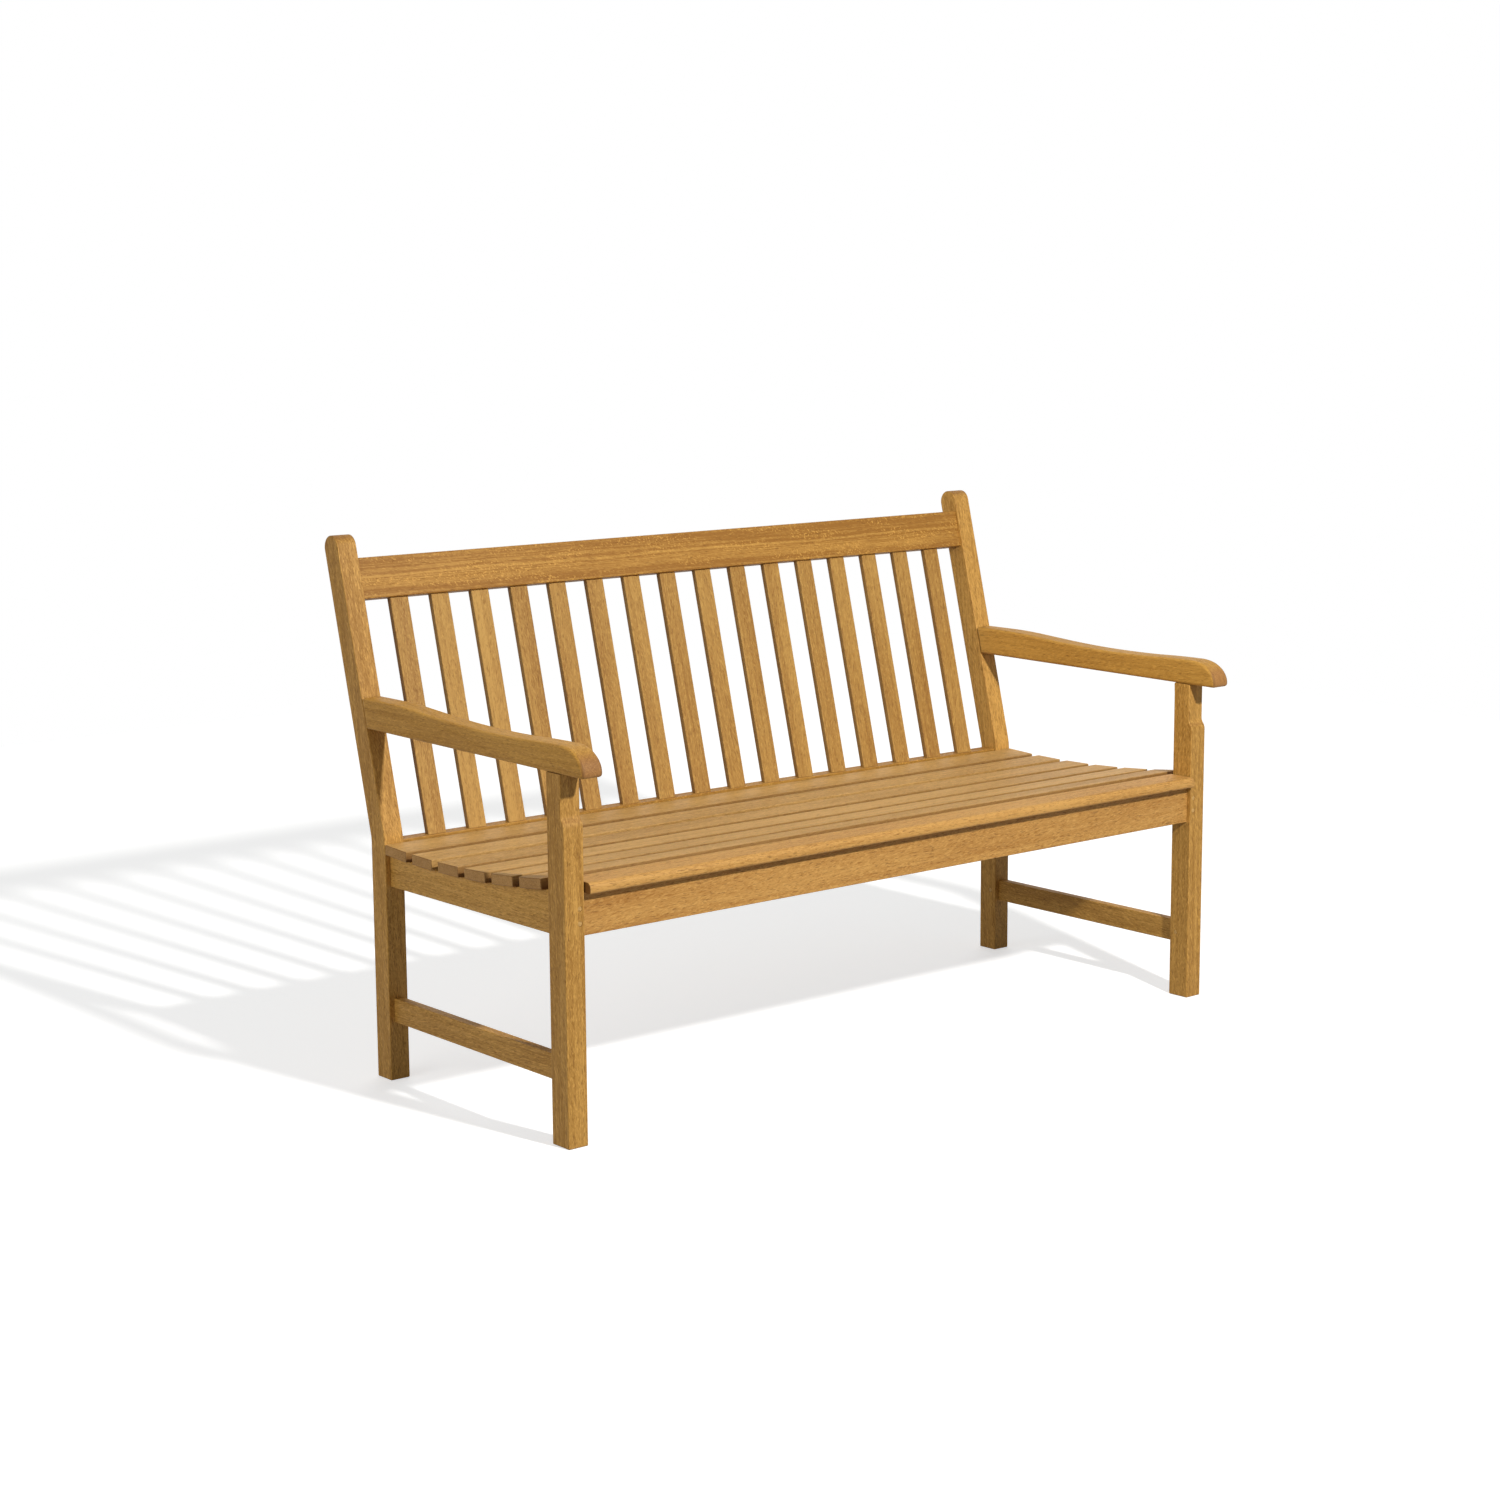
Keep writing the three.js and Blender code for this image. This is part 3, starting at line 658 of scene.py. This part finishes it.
@dataclass
class Joiner:
    """Works the boards of the bench from the nodes of the frame.

    Sizes are in metres and angles in radians.
    """

    effects: Effects
    seed: int = 41
    # Whole faces, and which of their edges are eased
    weld: float = 0.02 * MM
    flat: float = math.radians(0.05)
    sharp: float = math.radians(32)
    joint_reach: float = 0.7 * MM
    hole_reach: float = 90 * MM
    probe_above: float = 0.1 * MM
    probe_inside: float = 0.6 * MM
    segments: int = 3
    round_profile: float = 0.5
    # Shading
    crease: float = math.radians(50)
    broad_face_weight: int = 90
    # How boards differ, where the end grain shows, and how much painted gap shade the upper half of a
    # slat's narrow faces gets
    log_reach: float = 20.0
    grain_lean: float = 0.012
    tint: float = 0.16
    end_from: float = 0.45
    end_span: float = 0.30
    upper_gap_shade_share: float = 0.5
    made: list[bpy.types.Object] = field(default_factory=list)

    def __post_init__(self) -> None:
        """Sets up the seeded dice and a search tree of every node."""
        self.dice = random.Random(self.seed)
        self.materials: dict[str, bpy.types.Material] = {}
        self.trees = {name: self._tree(node) for name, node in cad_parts.items()}

    @staticmethod
    def _tree(node: bpy.types.Object) -> BVHTree:
        """Makes a search tree of a node's triangles.

        Args:
            node: The node's object.

        Returns:
            The search tree.
        """
        mesh = node.data
        mesh.calc_loop_triangles()
        points = [vertex.co.copy() for vertex in mesh.vertices]
        return BVHTree.FromPolygons(points, [list(triangle.vertices) for triangle in mesh.loop_triangles])

    def board(self, node: str, finish: TimberFinish, along: Vector, ease: float,
              cut: Cut = Cut.PLAIN, crisp_joints: bool = True, rim_and_gap_shade: float = 0.0) -> bpy.types.Object:
        """Makes the finished board that stands for one node of the frame.

        Args:
            node: The node's name; the board is named after it.
            finish: The board's finish.
            along: The direction of the grain.
            ease: The radius of the eased arrises.
            cut: How far from the heart the board was cut.
            crisp_joints: Whether edges that lie against another piece stay sharp.
            rim_and_gap_shade: How much painted shade darkens the narrow long faces, in the gaps between
                slats, from 0 to 1.

        Returns:
            The new piece, riding on the frame.
        """
        body = self._body(node)
        edges = self._arrises(node, body, crisp_joints)
        eased = bmesh.ops.bevel(body, geom=edges, offset=ease, offset_type="OFFSET", affect="EDGES",
                                segments=self.segments, profile=self.round_profile,
                                clamp_overlap=False, miter_outer="SHARP")
        strips = set(eased["faces"])
        arris = body.verts.layers.float.new(Mark.ARRIS.value)
        for vertex in body.verts:
            vertex[arris] = 1.0 if all(face in strips for face in vertex.link_faces) else 0.0
        body.normal_update()
        mesh = bpy.data.meshes.new(f"{node}_board")
        body.to_mesh(mesh)
        body.free()
        # Paints shade on the narrow long faces, which lie in the gaps between slats
        if rim_and_gap_shade > 0:
            self._paint_gap_shade(mesh, along, rim_and_gap_shade)
        piece = bpy.data.objects.new(f"{node}_board", mesh)
        return self.complete(piece, node, finish, along, cut)

    def complete(self, piece: bpy.types.Object, node: str, finish: TimberFinish,
                 along: Vector, cut: Cut) -> bpy.types.Object:
        """Adds the grain, the shading, the finish and the frame ties to a piece.

        Args:
            piece: The piece, with its mesh in place.
            node: The node that it stands for.
            finish: Its finish.
            along: The direction of the grain.
            cut: How far from the heart it was cut.

        Returns:
            The same piece.
        """
        bpy.context.scene.collection.objects.link(piece)
        self._lay_grain(piece.data, along, cut)
        self._shade(piece)
        self._dress(piece, finish)
        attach(piece, BODY)
        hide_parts(node)
        self.made.append(piece)
        LOG.info("%s: %d faces, %s", piece.name, len(piece.data.polygons), finish.name)
        return piece

    def _body(self, node: str) -> bmesh.types.BMesh:
        """Takes a node's mesh and joins its triangles into whole faces.

        Args:
            node: The node's name.

        Returns:
            The mesh, for the caller to work on and free.
        """
        body = bmesh.new()
        body.from_mesh(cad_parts[node].data)
        bmesh.ops.remove_doubles(body, verts=body.verts, dist=self.weld)
        bmesh.ops.dissolve_limit(body, angle_limit=self.flat, verts=body.verts, edges=body.edges)
        body.normal_update()
        return body

    def _arrises(self, node: str, body: bmesh.types.BMesh, crisp_joints: bool) -> list[bmesh.types.BMEdge]:
        """Finds the outer edges of a board that are eased by hand.

        Args:
            node: The node's name.
            body: The board's mesh.
            crisp_joints: Whether edges that lie against another piece are left out.

        Returns:
            The edges.
        """
        found = []
        for edge in body.edges:
            if len(edge.link_faces) != 2 or not edge.is_convex or edge.calc_face_angle() < self.sharp:
                continue
            if self._opens_hole(self.trees[node], edge):
                continue
            if crisp_joints and self._at_joint(node, edge):
                continue
            found.append(edge)
        return found

    def _opens_hole(self, tree: BVHTree, edge: bmesh.types.BMEdge) -> bool:
        """Tells whether an edge is the mouth of a mortise, housing or peg hole.

        Args:
            tree: The search tree of the edge's own node.
            edge: A convex edge between two faces.

        Returns:
            True where a probe along one face's normal, just inside the other face, meets the same board.
        """
        middle = (edge.verts[0].co + edge.verts[1].co) / 2
        first, second = (face.normal for face in edge.link_faces)
        for toward, below in ((first, second), (second, first)):
            start = middle + toward * self.probe_above - below * self.probe_inside
            if tree.ray_cast(start, toward, self.hole_reach)[0] is not None:
                return True
        return False

    def _at_joint(self, node: str, edge: bmesh.types.BMEdge) -> bool:
        """Tells whether the middle of an edge lies against another piece.

        Args:
            node: The name of the edge's own node.
            edge: The edge.

        Returns:
            True where another node is within the joint reach.
        """
        middle = (edge.verts[0].co + edge.verts[1].co) / 2
        others = (tree for other, tree in self.trees.items() if other != node)
        return any(tree.find_nearest(middle, self.joint_reach)[0] is not None for tree in others)

    def _paint_gap_shade(self, mesh: bpy.types.Mesh, along: Vector, rim_and_gap_shade: float) -> None:
        """Paints shade on the narrow long faces of a slat, in the gaps between slats, in the attribute
        painted_gap_shade; less above its middle, where more light reaches into a gap.

        Args:
            mesh: The slat's mesh.
            along: The direction of the grain.
            rim_and_gap_shade: The strength of the painted shade, from 0 to 1.
        """
        broad = max(mesh.polygons, key=lambda polygon: polygon.area)
        across = along.cross(broad.normal).normalized()
        level = broad.normal if broad.normal.z > 0 else -broad.normal
        middle = centre([vertex.co for vertex in mesh.vertices])
        painted_gap_shade = mesh.attributes.new(Mark.GAP_SHADE.value, "FLOAT", "CORNER")
        for polygon in mesh.polygons:
            share = rim_and_gap_shade * abs(polygon.normal.dot(across)) ** 2
            for corner in polygon.loop_indices:
                place = mesh.vertices[mesh.loops[corner].vertex_index].co - middle
                upper = place.dot(level) > 0
                painted_gap_shade.data[corner].value = share * (self.upper_gap_shade_share if upper else 1.0)

    def _lay_grain(self, mesh: bpy.types.Mesh, along: Vector, cut: Cut) -> None:
        """Writes where each point of a board lay in its log.

        Args:
            mesh: The board's mesh, which gets the attributes timber, end_grain and board_tone.
            along: The direction of the grain.
            cut: How far from the heart the board was cut.
        """
        points = [vertex.co for vertex in mesh.vertices]
        middle = centre(points)
        turn = self.dice.uniform(0, math.tau)
        heart = self.dice.uniform(*cut.value)
        start = self.dice.uniform(-self.log_reach, self.log_reach)
        lean_y = self.dice.uniform(-self.grain_lean, self.grain_lean)
        lean_z = self.dice.uniform(-self.grain_lean, self.grain_lean)
        axes = Matrix.Rotation(turn, 3, "X") @ along.to_track_quat("X", "Z").to_matrix().transposed()
        timber = mesh.attributes.new("timber", "FLOAT_VECTOR", "POINT")
        for index, point in enumerate(points):
            x, y, z = axes @ (point - middle)
            timber.data[index].vector = (x + start, y + heart + x * lean_y, z + x * lean_z)
        end_grain = mesh.attributes.new(Mark.END_GRAIN.value, "FLOAT", "CORNER")
        for polygon in mesh.polygons:
            share = (abs(polygon.normal.dot(along)) - self.end_from) / self.end_span
            for corner in polygon.loop_indices:
                end_grain.data[corner].value = min(1.0, max(0.0, share))
        board_tone = mesh.attributes.new(Mark.BOARD_TONE.value, "FLOAT", "POINT")
        tint = self.dice.uniform(-self.tint, self.tint)
        board_tone.data.foreach_set("value", [tint] * len(points))

    def _shade(self, piece: bpy.types.Object) -> None:
        """Shades a piece smoothly over its eased arrises and flat on its broad faces.

        Args:
            piece: The piece.
        """
        piece.data.shade_smooth()
        piece.data.set_sharp_from_angle(angle=self.crease)
        weighted = piece.modifiers.new("broad_faces_lead", "WEIGHTED_NORMAL")
        weighted.weight = self.broad_face_weight
        weighted.keep_sharp = True

    def _dress(self, piece: bpy.types.Object, finish: TimberFinish) -> None:
        """Gives a piece its finish, which is built the first time that it is used.

        Args:
            piece: The piece.
            finish: Its finish.
        """
        if finish.name not in self.materials:
            self.materials[finish.name] = finish.material(self.effects)
        piece.data.materials.clear()
        piece.data.materials.append(self.materials[finish.name])


# ---------------------------------------------------------------- sub-assemblies


@dataclass
class SideFrame:
    """One end of the bench: two legs, a seat rail, a stretcher and an arm."""

    side: Side
    leg_ease: float = 1.6 * MM
    rail_ease: float = 1.5 * MM
    arm_ease: float = 5.5 * MM

    def build(self, joiner: Joiner) -> None:
        """Makes the boards of this end.

        Args:
            joiner: Who works the boards.
        """
        self.legs(joiner)
        self.rails(joiner)
        self.arm(joiner)

    def legs(self, joiner: Joiner) -> None:
        """Makes the front leg and the raked back leg, whose grain runs along its chord.

        Args:
            joiner: Who works the boards.
        """
        front, back = f"front_leg_{self.side.value}", f"back_leg_{self.side.value}"
        joiner.board(front, FRAME_WOOD, UPRIGHT, self.leg_ease)
        low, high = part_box(back)
        chord = Vector((0, (high.y - low.y) / 2, high.z - low.z)).normalized()
        joiner.board(back, FRAME_WOOD, chord, self.leg_ease)

    def rails(self, joiner: Joiner) -> None:
        """Makes the seat rail and the stretcher between the legs."""
        for name in ("side_seat_rail", "stretcher"):
            joiner.board(f"{name}_{self.side.value}", FRAME_WOOD, DEPTHWISE, self.rail_ease)

    def arm(self, joiner: Joiner) -> None:
        """Makes the dipped arm, which is eased all round."""
        joiner.board(f"armrest_{self.side.value}", ARM_WOOD, DEPTHWISE, self.arm_ease,
                     crisp_joints=False)


@dataclass
class Seat:
    """The apron, the middle bearer and the slats of the seat; the last slat is the front one.

    The front slat is of the same wood as the apron, whose dark end colour is partly painted shade, and one
    slat has less painted shade on its narrow faces than the others.
    """

    rail_ease: float = 1.5 * MM
    slat_ease: float = 1.5 * MM
    # One slat gets lighter painted shade on its narrow faces than the others
    less_shaded_slat: int = 1
    light_gap_shade: float = 0.35
    full_gap_shade: float = 1.0

    def build(self, joiner: Joiner) -> None:
        """Makes the boards of the seat.

        Args:
            joiner: Who works the boards.
        """
        joiner.board("front_apron", APRON_WOOD, LENGTHWISE, self.rail_ease)
        joiner.board("seat_bearer_middle", FRAME_WOOD, DEPTHWISE, self.rail_ease)
        *dished, front = nodes_named("seat_slat_")
        # Each dished slat gets painted shade on its narrow faces, lighter on one
        for index, node in enumerate(dished):
            rim_and_gap_shade = self.light_gap_shade if index == self.less_shaded_slat else self.full_gap_shade
            joiner.board(node, SEAT_WOOD, LENGTHWISE, self.slat_ease, Cut.OUTER, rim_and_gap_shade=rim_and_gap_shade)
        # Its end face takes the apron finish's dark end colour, partly painted shade beside the front leg
        joiner.board(front, APRON_WOOD, LENGTHWISE, self.slat_ease, Cut.OUTER)


@dataclass
class Back:
    """The two back rails and the raked slats between them."""

    rail_ease: float = 1.6 * MM
    slat_ease: float = 1.4 * MM
    # Painted shade on the slats' narrow faces, for the gaps between them
    gap_shade: float = 1.0

    def build(self, joiner: Joiner) -> None:
        """Makes the boards of the back.

        Args:
            joiner: Who works the boards.
        """
        joiner.board("lower_back_rail", BACK_RAIL_WOOD, LENGTHWISE, self.rail_ease)
        joiner.board("top_back_rail", BACK_RAIL_WOOD, LENGTHWISE, self.rail_ease,
                     Cut.NEAR_HEART)
        rake = slat_rake()
        for node in nodes_named("back_slat_"):
            joiner.board(node, BACK_SLAT_WOOD, rake, self.slat_ease, rim_and_gap_shade=self.gap_shade)


@dataclass
class Pegs:
    """The round pegs that pin the joints, each with a chamfered, slightly domed head."""

    sides: int = 32
    chamfer: float = 0.5 * MM
    chamfer_break: float = 0.3
    dome: float = 0.25 * MM
    dome_break: float = 0.25

    def build(self, joiner: Joiner) -> None:
        """Turns every peg in the place of its node."""
        for node in nodes_named("peg_"):
            self.turn(joiner, node)

    def turn(self, joiner: Joiner, node: str) -> bpy.types.Object:
        """Turns one peg.

        Args:
            joiner: Where the peg gets its grain and finish.
            node: The node that the peg stands for.

        Returns:
            The new peg.
        """
        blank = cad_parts[node].data
        points = [vertex.co.copy() for vertex in blank.vertices]
        middle = centre(points)
        end = max(blank.polygons, key=lambda polygon: polygon.normal.dot(polygon.center - middle))
        axis = end.normal.copy()
        corner = max(points, key=lambda point: (point - middle).length) - middle
        half = abs(corner.dot(axis))
        radius = (corner - axis * corner.dot(axis)).length
        mesh = self._lathe(f"{node}_turned", middle, axis, self._outline(half, radius))
        mesh.attributes.new(Mark.ARRIS.value, "FLOAT", "POINT")
        piece = bpy.data.objects.new(f"{node}_turned", mesh)
        return joiner.complete(piece, node, PEG_WOOD, axis, Cut.NEAR_HEART)

    def _outline(self, half: float, radius: float) -> list[tuple[float, float]]:
        """Draws half of a peg's lengthwise section, the same at both ends.

        Args:
            half: Half of the peg's length.
            radius: The peg's radius.

        Returns:
            Distance from the axis and height for each point, from the top end to the bottom end.
        """
        shoulder = half - self.dome
        top = [
            (0.0, half),
            (radius / 2, half - self.dome * self.dome_break),
            (radius - self.chamfer, shoulder),
            (radius - self.chamfer * self.chamfer_break, shoulder - self.chamfer * self.chamfer_break),
            (radius, shoulder - self.chamfer),
        ]
        return top + [(out, -height) for out, height in reversed(top)]

    def _lathe(self, name: str, middle: Vector, axis: Vector,
               outline: list[tuple[float, float]]) -> bpy.types.Mesh:
        """Turns an outline round an axis.

        Args:
            name: The mesh's name.
            middle: The point on the axis at height 0.
            axis: The direction of the axis.
            outline: Distance from the axis and height for each point, from end to end.

        Returns:
            A closed mesh.
        """
        body = bmesh.new()
        across = axis.orthogonal().normalized()
        other = axis.cross(across)
        rings = []
        for out, height in outline:
            count = self.sides if out > 0 else 1
            ring = []
            for step in range(count):
                angle = math.tau * step / self.sides
                spoke = across * math.cos(angle) + other * math.sin(angle)
                ring.append(body.verts.new(middle + axis * height + spoke * out))
            rings.append(ring)
        for upper, lower in zip(rings, rings[1:]):
            for step in range(self.sides):
                after = (step + 1) % self.sides
                corners = [upper[step % len(upper)], lower[step % len(lower)],
                           lower[after % len(lower)], upper[after % len(upper)]]
                body.faces.new(list(dict.fromkeys(corners)))
        bmesh.ops.recalc_face_normals(body, faces=body.faces)
        mesh = bpy.data.meshes.new(name)
        body.to_mesh(mesh)
        body.free()
        return mesh


# ---------------------------------------------------------------- studio


def direct_view(graph: Graph) -> Socket:
    """Tells a direct look from light that bounces.

    Args:
        graph: The graph of a material or of the world.

    Returns:
        1 where a ray comes from the camera, a gloss or a clear surface, and 0 elsewhere.
    """
    path = graph.add("LightPath").outputs
    either = graph.math("MAXIMUM", path["Is Camera Ray"], path["Is Glossy Ray"])
    return graph.math("MAXIMUM", either, path["Is Transmission Ray"])


@dataclass(frozen=True)
class FloorFinish:
    """A pale studio floor that runs into the white backdrop but keeps the object's shadow.

    To the camera it shows part of its own light and part of the light that falls on it.
    """

    name: str = "pale_floor"
    own: Colour = (0.535, 0.542, 0.553)
    taken: Colour = (0.70, 0.70, 0.70)
    bounce: Colour = (0.24, 0.24, 0.24)

    def material(self) -> bpy.types.Material:
        """Builds the finish.

        Returns:
            A new material.
        """
        material = bpy.data.materials.new(self.name)
        material.use_nodes = True
        material.node_tree.nodes.clear()
        graph = Graph(material.node_tree)
        glow = graph.add("Emission", {"Color": self.own, "Strength": 1.0})
        shown = graph.add("BsdfDiffuse", {"Color": self.taken})
        both = graph.add("AddShader", {0: glow.outputs[0], 1: shown.outputs[0]})
        plain = graph.add("BsdfDiffuse", {"Color": self.bounce})
        mixed = graph.add("MixShader", {0: direct_view(graph), 1: plain.outputs[0], 2: both.outputs[0]})
        graph.add("OutputMaterial", {"Surface": mixed.outputs[0]})
        return material


@dataclass
class Studio:
    """The floor, the lights and the camera.

    Places are in metres; the camera's turn, dip and roll and the spread of the soft lights are in degrees.
    """

    floor_half: float = 4.0
    floor_drop: float = 0.2 * MM
    backdrop: Colour = (1.0, 1.0, 1.0)
    fill: float = 0.19
    fill_tint: Colour = (1.0, 0.97, 0.87)
    key: float = 38.0
    key_tint: Colour = (1.0, 0.985, 0.955)
    key_radius: float = 0.09
    key_place: Vector = field(default_factory=lambda: Vector((-0.211, -3.059, 2.411)))
    soft_spread: float = 55.0
    side: float = 1.2
    to_side: Vector = field(default_factory=lambda: Vector((-1.0, -0.1, 0.3)))
    rear: float = 1.5
    to_rear: Vector = field(default_factory=lambda: Vector((0.85, 1.0, 0.4)))
    camera_place: Vector = field(default_factory=lambda: Vector((-3.2612, -3.8065, 1.3615)))
    camera_turn: float = -39.636
    camera_dip: float = 9.498
    camera_roll: float = -0.388
    lens: float = 67.215
    sensor: float = 36.0
    sight: float = 40.0

    def build(self) -> None:
        """Sets up everything around the bench."""
        self.camera()
        self.floor()
        self.key_light()
        self.soft_light("side_light", self.side, self.to_side)
        self.soft_light("rear_light", self.rear, self.to_rear)
        self.surround()
        bpy.context.scene.view_settings.view_transform = "Standard"

    def camera(self) -> None:
        """Sets a long lens at the left front, well above the arms."""
        data = bpy.data.cameras.new("studio_camera")
        data.lens = self.lens
        data.sensor_width = self.sensor
        data.clip_end = self.sight
        turn = Matrix.Rotation(math.radians(self.camera_turn), 4, "Z")
        dip = Matrix.Rotation(math.radians(90 - self.camera_dip), 4, "X")
        roll = Matrix.Rotation(math.radians(self.camera_roll), 4, "Z")
        camera = bpy.data.objects.new("studio_camera", data)
        camera.matrix_world = Matrix.Translation(self.camera_place) @ turn @ dip @ roll
        bpy.context.scene.collection.objects.link(camera)
        bpy.context.scene.camera = camera

    def floor(self) -> None:
        """Lays a wide floor just under the feet."""
        half = self.floor_half
        corners = [(-half, -half), (half, -half), (half, half), (-half, half)]
        mesh = bpy.data.meshes.new("studio_floor")
        mesh.from_pydata([(x, y, -self.floor_drop) for x, y in corners], [], [(0, 1, 2, 3)])
        mesh.materials.append(FloorFinish().material())
        floor = bpy.data.objects.new("studio_floor", mesh)
        bpy.context.scene.collection.objects.link(floor)

    def key_light(self) -> None:
        """Sets a lamp in front of the bench, well above it, as strong near as far."""
        data = bpy.data.lights.new("key_light", "POINT")
        data.energy = self.key
        data.shadow_soft_size = self.key_radius
        data.color = self.key_tint
        data.use_nodes = True
        data.node_tree.nodes.clear()
        graph = Graph(data.node_tree)
        reach = graph.add("LightFalloff", {"Strength": 1.0}).outputs["Constant"]
        glow = graph.add("Emission", {"Strength": reach})
        graph.add("OutputLight", {"Surface": glow.outputs[0]})
        light = bpy.data.objects.new("key_light", data)
        light.location = self.key_place
        bpy.context.scene.collection.objects.link(light)

    def soft_light(self, name: str, strength: float, toward: Vector) -> None:
        """Sets a broad, distant light that leaves no sheen.

        Args:
            name: The light's name.
            strength: What it gives to a surface that faces it.
            toward: The direction to it.
        """
        data = bpy.data.lights.new(name, "SUN")
        data.energy = strength
        data.angle = math.radians(self.soft_spread)
        light = bpy.data.objects.new(name, data)
        light.rotation_mode = "QUATERNION"
        light.rotation_quaternion = toward.to_track_quat("Z", "Y")
        light.visible_glossy = False
        bpy.context.scene.collection.objects.link(light)

    def surround(self) -> None:
        """Sets white all round, with an even, slightly warm fill light."""
        world = bpy.data.worlds.new("studio_surround")
        world.use_nodes = True
        world.node_tree.nodes.clear()
        graph = Graph(world.node_tree)
        fill = graph.add("Background", {"Color": self.fill_tint, "Strength": self.fill})
        white = graph.add("Background", {"Color": self.backdrop, "Strength": 1.0})
        mixed = graph.add("MixShader", {0: direct_view(graph), 1: fill.outputs[0], 2: white.outputs[0]})
        graph.add("OutputWorld", {"Surface": mixed.outputs[0]})
        bpy.context.scene.world = world


# ---------------------------------------------------------------- bench


def main() -> None:
    """Builds the studio and the bench in order."""
    logging.basicConfig(level=logging.INFO, format="%(name)s: %(message)s")
    Studio().build()
    joiner = Joiner(Effects())
    for side in Side:
        SideFrame(side).build(joiner)
    Seat().build(joiner)
    Back().build(joiner)
    Pegs().build(joiner)
    LOG.info("%d pieces made", len(joiner.made))


if __name__ == "__main__":
    main()
